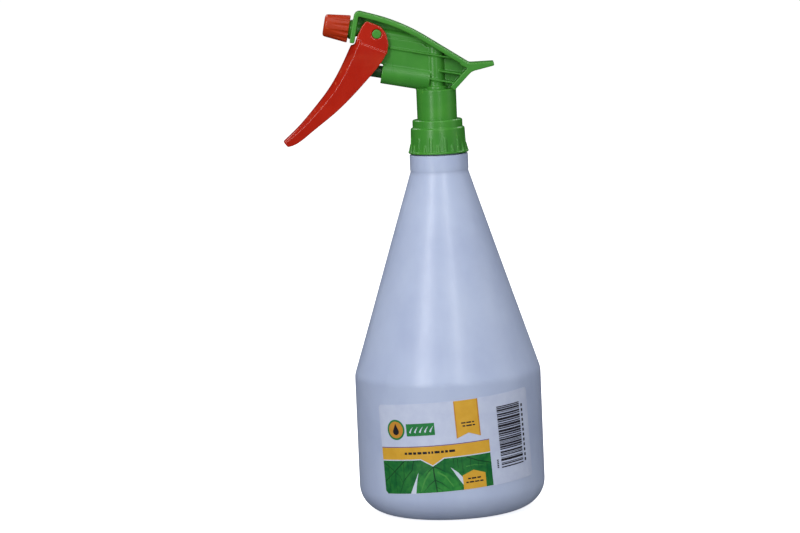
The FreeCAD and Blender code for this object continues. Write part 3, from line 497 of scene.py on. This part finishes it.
def add_thread(bm):
    """The neck's screw ridge, which runs out to nothing at both ends."""
    steps = int(48 * THREAD_TURNS)
    root_w, crest_w = THREAD_WIDTHS
    sections = []
    for i in range(steps + 1):
        t = 2 * math.pi * THREAD_TURNS * i / steps
        z = THREAD_LOW + THREAD_PITCH * THREAD_TURNS * i / steps
        rise = min(1.0, i / 5, (steps - i) / 5)
        crest = FINISH_R - 0.1 + (THREAD_R - FINISH_R + 0.1) * math.sin(rise * math.pi / 2)
        points = [(FINISH_R - 0.3, -root_w / 2), (FINISH_R, -root_w / 2), (crest - 0.1, -crest_w / 2),
                  (crest, -crest_w / 2 + 0.12), (crest, crest_w / 2 - 0.12), (crest - 0.1, crest_w / 2),
                  (FINISH_R, root_w / 2), (FINISH_R - 0.3, root_w / 2)]
        sections.append([bm.verts.new((r * math.cos(t) * MM, r * math.sin(t) * MM, (z + up) * MM))
                         for r, up in points])
    for low, high in zip(sections, sections[1:]):
        for i in range(len(low)):
            j = (i + 1) % len(low)
            bm.faces.new((low[i], low[j], high[j], high[i]))
    bm.faces.new(sections[0])
    bm.faces.new(sections[-1])


def add_pinch(bm):
    """The welded line across the base, where the mould pinched the tube of plastic shut."""
    half = 26.0
    steps = 52
    rows = []
    for i in range(steps + 1):
        x = -half + 2 * half * i / steps
        z = PUSH_UP * (1 - (x / BASE_RING_R) ** 2)
        fall = min(1.0, (half - abs(x)) / 6)
        rows.append([bm.verts.new((x * MM, y * MM, (z + 0.05 - down * fall) * MM))
                     for y, down in ((-0.9, 0.0), (-0.45, 0.3), (0.0, 0.42), (0.45, 0.3), (0.9, 0.0))])
    for low, high in zip(rows, rows[1:]):
        for i in range(4):
            bm.faces.new((low[i], low[i + 1], high[i + 1], high[i]))


# ================= 4 label =================

def on_wall(a, b, out):
    """From the label's own plane, a to the right and b up, to the wall, out millimetres proud of it."""
    arc = LABEL_ARC + a * math.cos(LABEL_TILT) - b * math.sin(LABEL_TILT)
    z = LABEL_Z + a * math.sin(LABEL_TILT) + b * math.cos(LABEL_TILT)
    r = BOTTLE_R + out
    return Vector((r * math.sin(arc / BOTTLE_R), -r * math.cos(arc / BOTTLE_R), z)) * MM


def lift(a, b):
    """How far the film stands off the wall: a faint wrinkle by each end and a corner that curls."""
    wrinkle = 0.05 * math.exp(-((a - 43.6 - 0.05 * b) / 0.9) ** 2)
    wrinkle += 0.03 * math.exp(-((a + 44.5) / 1.2) ** 2)
    corner = max(0.0, (a - 40) / 6.5) * max(0.0, (-b - 18) / 6.75)
    return wrinkle + 0.2 * corner


def printed(name, shapes, layer, replaces=None, edge=False):
    """One piece of the label from (outline, material) shapes, in strips so that it bends with the wall."""
    bm = bmesh.new()
    materials = []
    for outline, material in shapes:
        if material not in materials:
            materials.append(material)
        verts = [bm.verts.new((a, b, 0.0)) for a, b in outline]
        face = bm.faces.new(verts)
        face.material_index = materials.index(material)
    step = 1.2
    count = int(LABEL_W / step) + 2
    for i in range(-count // 2, count // 2 + 1):
        whole = bm.verts[:] + bm.edges[:] + bm.faces[:]
        bmesh.ops.bisect_plane(bm, geom=whole, plane_co=(i * step, 0, 0), plane_no=(1, 0, 0), dist=1e-5)
    bmesh.ops.triangulate(bm, faces=bm.faces[:], quad_method="BEAUTY", ngon_method="EAR_CLIP")
    top = LABEL_T + layer * PRINT_STEP
    if edge:
        rim = [e for e in bm.edges if e.is_boundary]
        made = bmesh.ops.extrude_edge_only(bm, edges=rim)["geom"]
        for v in (g for g in made if isinstance(g, bmesh.types.BMVert)):
            v.co.z = -1.0
    for v in bm.verts:
        a, b, down = v.co
        v.co = on_wall(a, b, (0.0 if down < -0.5 else top) + lift(a, b))
    bmesh.ops.recalc_face_normals(bm, faces=bm.faces)
    outward = 0.0
    for f in bm.faces:
        middle = f.calc_center_median()
        outward += f.normal.dot(Vector((middle.x, middle.y, 0)))
    if outward < 0:
        bmesh.ops.reverse_faces(bm, faces=bm.faces)
    mesh = bpy.data.meshes.new(name)
    bm.to_mesh(mesh)
    bm.free()
    smooth(mesh)
    obj = add_object(name, mesh, "bottle")
    for material in materials:
        mesh.materials.append(material)
    mesh.set_sharp_from_angle(angle=math.radians(40))
    if replaces:
        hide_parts(replaces)
    return obj


def rectangle(left, low, right, high):
    return [(left, low), (right, low), (right, high), (left, high)]


def disc(a, b, radius, count=40):
    return [(a + radius * math.cos(2 * math.pi * i / count), b + radius * math.sin(2 * math.pi * i / count))
            for i in range(count)]


def drop(a, b, size):
    """A water drop: round below, drawn to a point above."""
    out = []
    for i in range(33):
        t = math.radians(-210 + 240 * i / 32)
        out.append((a + size * math.cos(t), b + size * math.sin(t)))
    return out + [(a, b + 2.3 * size)]


def rounded_rectangle(half_w, half_h, radius):
    out = []
    corners = ((half_w, -half_h, -90), (half_w, half_h, 0), (-half_w, half_h, 90), (-half_w, -half_h, 180))
    for x, y, start in corners:
        cx = x - math.copysign(radius, x)
        cy = y - math.copysign(radius, y)
        out += arc_points((cx, cy), radius, start, start + 90, 5)
    return out


def vein(points, width, tip=0.15):
    """A line that narrows from its first point to its last."""
    left, right = [], []
    count = len(points)
    for i, (a, b) in enumerate(points):
        before, after = points[max(i - 1, 0)], points[min(i + 1, count - 1)]
        along = Vector((after[0] - before[0], after[1] - before[1])).normalized()
        half = (width + (tip - width) * i / (count - 1)) / 2
        left.append((a - along.y * half, b + along.x * half))
        right.append((a + along.y * half, b - along.x * half))
    return left + right[::-1]


def dashes(left, right, b, height, seed, gap=0.5):
    """A row of plain short bars, where the real label has a line of words."""
    pick = random.Random(seed)
    out = []
    at = left
    while at < right - 0.6:
        end = min(right, at + pick.uniform(1.0, 3.2))
        out.append(rectangle(at, b - height / 2, end, b + height / 2))
        at = end + gap
    return out


def bars():
    """A generic pattern of bars, wide and narrow by chance."""
    pick = random.Random(11)
    out = []
    b = -16.0
    while b < 17.6:
        width = pick.choice((0.32, 0.32, 0.62, 0.62, 0.95, 1.25))
        out.append(rectangle(23.3, b, 39.2, min(b + width, 18.0)))
        b += width + pick.choice((0.34, 0.34, 0.6, 0.9))
    return out


def make_label():
    sheet = rounded_rectangle(LABEL_W / 2, LABEL_H / 2, LABEL_CORNER)
    printed("label_sheet", [(sheet, FILM)], 0, "label", edge=True)

    tip_a, tip_b = -15.3, -9.4
    band_low, band_high = BAND
    leaf = [(PRINT_LEFT, PRINT_LOW + 1.6), (PRINT_LEFT + 1.6, PRINT_LOW), (PRINT_RIGHT, PRINT_LOW),
            (PRINT_RIGHT, band_low), (PRINT_LEFT, band_low)]
    printed("label_leaf_print", [(leaf, LEAF)], 1)

    front_leaf = [(tip_a, tip_b - 0.8), (-12.0, -12.2), (-7.4, -14.6), (-3.4, -18.6),
                  (-0.8, PRINT_LOW + 0.1), (-27.2, PRINT_LOW + 0.1), (-25.6, -19.4),
                  (-22.6, -15.0), (-18.6, -11.8)]
    veins = [
        vein([(tip_a, -9.6), (-15.1, -15.0), (-14.7, -20.0), (-14.4, PRINT_LOW)], 0.75, 0.55),
        vein([(tip_a, -10.2), (-12.0, -11.4), (-8.8, -13.6)], 0.6),
        vein([(tip_a, -10.4), (-18.0, -12.6), (-20.6, -15.8)], 0.5),
        vein([(-14.9, -17.6), (-11.2, -19.6), (-7.8, -23.0)], 0.55),
        vein([(-14.9, -17.6), (-18.6, -20.2), (-21.8, -23.8)], 0.5),
        vein([(-14.7, -21.4), (-12.6, -22.6), (-11.0, -24.2)], 0.35),
        vein([(-32.0, -6.6), (-38.0, -11.6), (-45.8, -17.6)], 0.7, 0.4),
        vein([(-45.8, -7.0), (-40.0, -11.0), (-35.6, -14.6), (-33.0, -20.0)], 0.45, 0.2),
        vein([(3.2, -6.4), (9.6, -9.4), (16.8, -11.6)], 0.7, 0.4),
        vein([(-26.0, -6.2), (-27.6, -11.6), (-33.4, -17.4), (-36.0, -23.8)], 0.5, 0.2),
    ]
    small_veins = (
        (-42.6, -8.6, -23.8), (-38.2, -12.4, -23.6), (-32.4, -8.0, -16.0), (-29.6, -6.4, -10.8),
        (-3.8, -6.6, -10.4), (0.8, -6.4, -15.4), (5.4, -8.0, -13.6), (9.8, -9.8, -14.2),
        (14.4, -11.2, -23.6), (-1.6, -7.0, -12.0),
    )
    veins += [vein([(a, high), (a - 0.3, (high + low) / 2), (a + 0.1, low)], 0.3, 0.14)
              for a, high, low in small_veins]
    pale = [
        vein([(-17.4, -12.8), (-20.6, -17.2), (-23.4, -23.4)], 1.3, 0.4),
        vein([(-13.2, -13.2), (-9.0, -16.0), (-5.2, -22.0)], 1.2, 0.4),
        vein([(2.6, -11.8), (7.6, -11.4), (12.6, -12.4)], 0.6, 0.2),
    ]
    printed("label_front_leaf_print", [(front_leaf, FRONT_LEAF)], 2)
    printed("label_pale_print", [(p, PALE_LEAF) for p in pale], 3)
    printed("label_vein_print", [(v, VEIN) for v in veins], 4)

    slivers = [
        [(-23.9, -12.9), (-25.2, -18.0), (-26.4, PRINT_LOW), (-29.6, PRINT_LOW), (-26.6, -18.4)],
        [(-5.7, -11.4), (-2.0, -14.6), (0.4, -17.6), (0.4, -22.0), (-2.4, -17.4)],
    ]
    outline = [(PRINT_LEFT, band_low - 0.55), (-21.9, band_low - 0.55), (tip_a, tip_b - 0.65),
               (-8.7, band_low - 0.55), (PRINT_RIGHT, band_low - 0.55), (PRINT_RIGHT, band_high),
               (PRINT_LEFT, band_high)]
    printed("label_white_print", [(p, WHITE_INK) for p in slivers + [outline]], 5)

    band = [(PRINT_LEFT, band_low), (-21.7, band_low), (tip_a, tip_b), (-8.9, band_low),
            (PRINT_RIGHT, band_low), (PRINT_RIGHT, band_high), (PRINT_LEFT, band_high)]
    badge = [(0.2, PRINT_LOW), (13.0, PRINT_LOW), (13.0, -16.5), (6.5, -14.1), (0.2, -16.5)]
    ribbon = [(-0.8, 24.6), (-0.8, 4.0), (6.0, 6.6), (12.6, 4.0), (12.6, 24.6)]
    yellow = [(band, YELLOW), (badge, YELLOW), (ribbon, YELLOW)]
    printed("label_yellow_print", yellow, 6)

    stripes = [
        [(-0.8, 24.6), (-0.8, 4.0), (-0.1, 4.3), (-0.1, 24.6)],
        [(12.6, 24.6), (11.9, 24.6), (11.9, 4.3), (12.6, 4.0)],
    ]
    mark_a, mark_b = MARK
    printed("label_amber_print", [(p, AMBER) for p in stripes], 7)
    green = [rectangle(-28.6, 7.2, -12.3, 13.9), disc(mark_a, mark_b, 5.6)]
    printed("label_mark_green", [(p, BAR_GREEN) for p in green], 6)
    printed("label_mark_amber", [(disc(mark_a, mark_b, 4.6), AMBER)], 7)

    line = rectangle(PRINT_LEFT, band_high, PRINT_RIGHT, band_high + 0.45)
    printed("label_line_print", [(line, PURPLE)], 6)

    sprig = [vein([(-26.6 + 2.9 * i, 9.0), (-25.8 + 2.9 * i, 10.6), (-24.6 + 2.9 * i, 12.2)], 1.1, 0.1)
             for i in range(5)]
    printed("label_sprig_print", [(p, WHITE_INK) for p in sprig], 7)

    black = [drop(mark_a, mark_b - 1.0, 1.9)] + bars()
    black += dashes(-31.0, -2.0, -2.3, 1.3, seed=3, gap=0.7)
    black += dashes(2.4, 9.6, 12.2, 0.75, seed=5)
    black += dashes(3.0, 10.2, 10.5, 0.75, seed=8)
    black += dashes(3.0, 10.2, -18.6, 0.8, seed=13)
    black += dashes(1.8, 11.4, -20.6, 0.8, seed=21)
    black += [rectangle(40.5, -15.4 + 2.75 * i, 41.7, -13.8 + 2.75 * i) for i in range(12)]
    black += [rectangle(20.6, -15.6 + 1.0 * i, 21.6, -15.0 + 1.0 * i) for i in range(5)]
    printed("label_black_print", [(p, BLACK) for p in black], 8)


# ================= 5 moulded pieces =================

def make_mouldings():
    moulded("head_body", "head_moulding", "head", GREEN, voxel=0.3, passes=3,
            keep=0.5, slant=TILT, seam=0.05)
    moulded("trigger", "trigger_moulding", "trigger", RED, voxel=0.26, passes=4,
            keep=0.5, slant=TILT)
    moulded("screw_collar", "collar_moulding", "collar", GREEN, voxel=0.22, passes=3,
            keep=0.5)
    moulded("nozzle_cap", "nozzle_moulding", "nozzle", CAP_RED, voxel=0.17, passes=3,
            keep=0.5, slant=TILT)


# ================= 6 inner pieces =================

def finish_inner():
    finishes = {
        "neck_gasket": FOAM,
        "piston": DARK_GREEN,
        "piston_front_seal": RUBBER,
        "piston_rear_seal": RUBBER,
        "return_spring": WIRE,
        "nozzle_o_ring": RUBBER,
        "swirl_core": NATURAL,
        "outlet_valve": NATURAL,
        "outlet_valve_spring": WIRE,
        "tube_adapter": NATURAL,
        "inlet_ball": BALL,
        "ball_cage": NATURAL,
        "dip_tube": NATURAL,
        "tube_strainer": NATURAL,
    }
    for node, material in finishes.items():
        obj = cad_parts[node]
        for place in obj.material_slots:
            place.material = material


# ================= 7 stage, lights and camera =================

def make_stage():
    mesh = bpy.data.meshes.new("floor")
    half = 40.0
    corners = [(-half, -half, 0), (half, -half, 0), (half, half, 0), (-half, half, 0)]
    mesh.from_pydata(corners, [], [(0, 1, 2, 3)])
    floor = bpy.data.objects.new("floor", mesh)
    SCENE.collection.objects.link(floor)
    s = Surface("floor")
    s.colour(s.blend(s.noise(0.8, 2.0), (0.9, 0.9, 0.9, 1.0), (0.92, 0.92, 0.92, 1.0)))
    s.set(Roughness=0.9, Specular_IOR_Level=0.1)
    s.set(Emission_Color=(1.0, 1.0, 1.0, 1.0), Emission_Strength=0.74)
    mesh.materials.append(s.material)
    floor.visible_glossy = False
    floor.visible_diffuse = False

    world = bpy.data.worlds.new("studio")
    world.use_nodes = True
    nodes, links = world.node_tree.nodes, world.node_tree.links
    sky = nodes["Background"]
    sky.inputs["Color"].default_value = (0.97, 0.98, 1.0, 1.0)
    # a white backdrop behind the object, but a dimmer one to light it
    seen = nodes.new("ShaderNodeLightPath").outputs["Is Camera Ray"]
    strength = nodes.new("ShaderNodeMapRange")
    strength.inputs["To Min"].default_value = 0.32
    strength.inputs["To Max"].default_value = 1.05
    links.new(seen, strength.inputs["Value"])
    links.new(strength.outputs["Result"], sky.inputs["Strength"])
    world.cycles_visibility.glossy = False
    SCENE.world = world


def softbox(name, azimuth, distance, height, width, tall, power, aim=0.14):
    """A rectangular soft light. Azimuth 0 is in front of the label, and positive is to its right."""
    light = bpy.data.lights.new(name, "AREA")
    light.shape = "RECTANGLE"
    light.size = width
    light.size_y = tall
    light.energy = power
    obj = bpy.data.objects.new(name, light)
    SCENE.collection.objects.link(obj)
    t = math.radians(azimuth)
    obj.location = (distance * math.sin(t), -distance * math.cos(t), height)
    obj.rotation_euler = (Vector((0, 0, aim)) - obj.location).to_track_quat("-Z", "Y").to_euler()
    return obj


def make_lights():
    softbox("key_left", -32, 1.3, 0.75, 0.22, 1.4, 10.5, aim=0.3)
    softbox("strip_right", 16.5, 1.35, 0.8, 0.12, 1.3, 6.5, aim=0.3)
    softbox("fill_right", 78, 1.7, 0.6, 0.9, 1.4, 2.2)
    softbox("overhead", 0, 0.5, 1.9, 1.4, 1.4, 7.0)
    softbox("back_left", -150, 1.6, 1.6, 0.9, 0.9, 13.0)
    softbox("back_right", 150, 1.6, 1.6, 0.9, 0.9, 13.0)


def make_camera():
    camera = bpy.data.cameras.new("camera")
    camera.lens = CAMERA_LENS
    camera.sensor_width = 36.0
    camera.clip_end = 200.0
    obj = bpy.data.objects.new("camera", camera)
    SCENE.collection.objects.link(obj)
    place = Vector(CAMERA_PLACE)
    ahead = (Vector(CAMERA_AIM) - place).normalized()
    right = ahead.cross(Vector((0, 0, 1))).normalized()
    up = right.cross(ahead)
    across = right * math.cos(CAMERA_ROLL) - up * math.sin(CAMERA_ROLL)
    over = right * math.sin(CAMERA_ROLL) + up * math.cos(CAMERA_ROLL)
    obj.matrix_world = Matrix.Translation(place) @ Matrix((across, over, -ahead)).transposed().to_4x4()
    SCENE.camera = obj


make_bottle()
make_label()
make_mouldings()
finish_inner()
make_stage()
make_lights()
make_camera()
SCENE.view_settings.view_transform = "Standard"
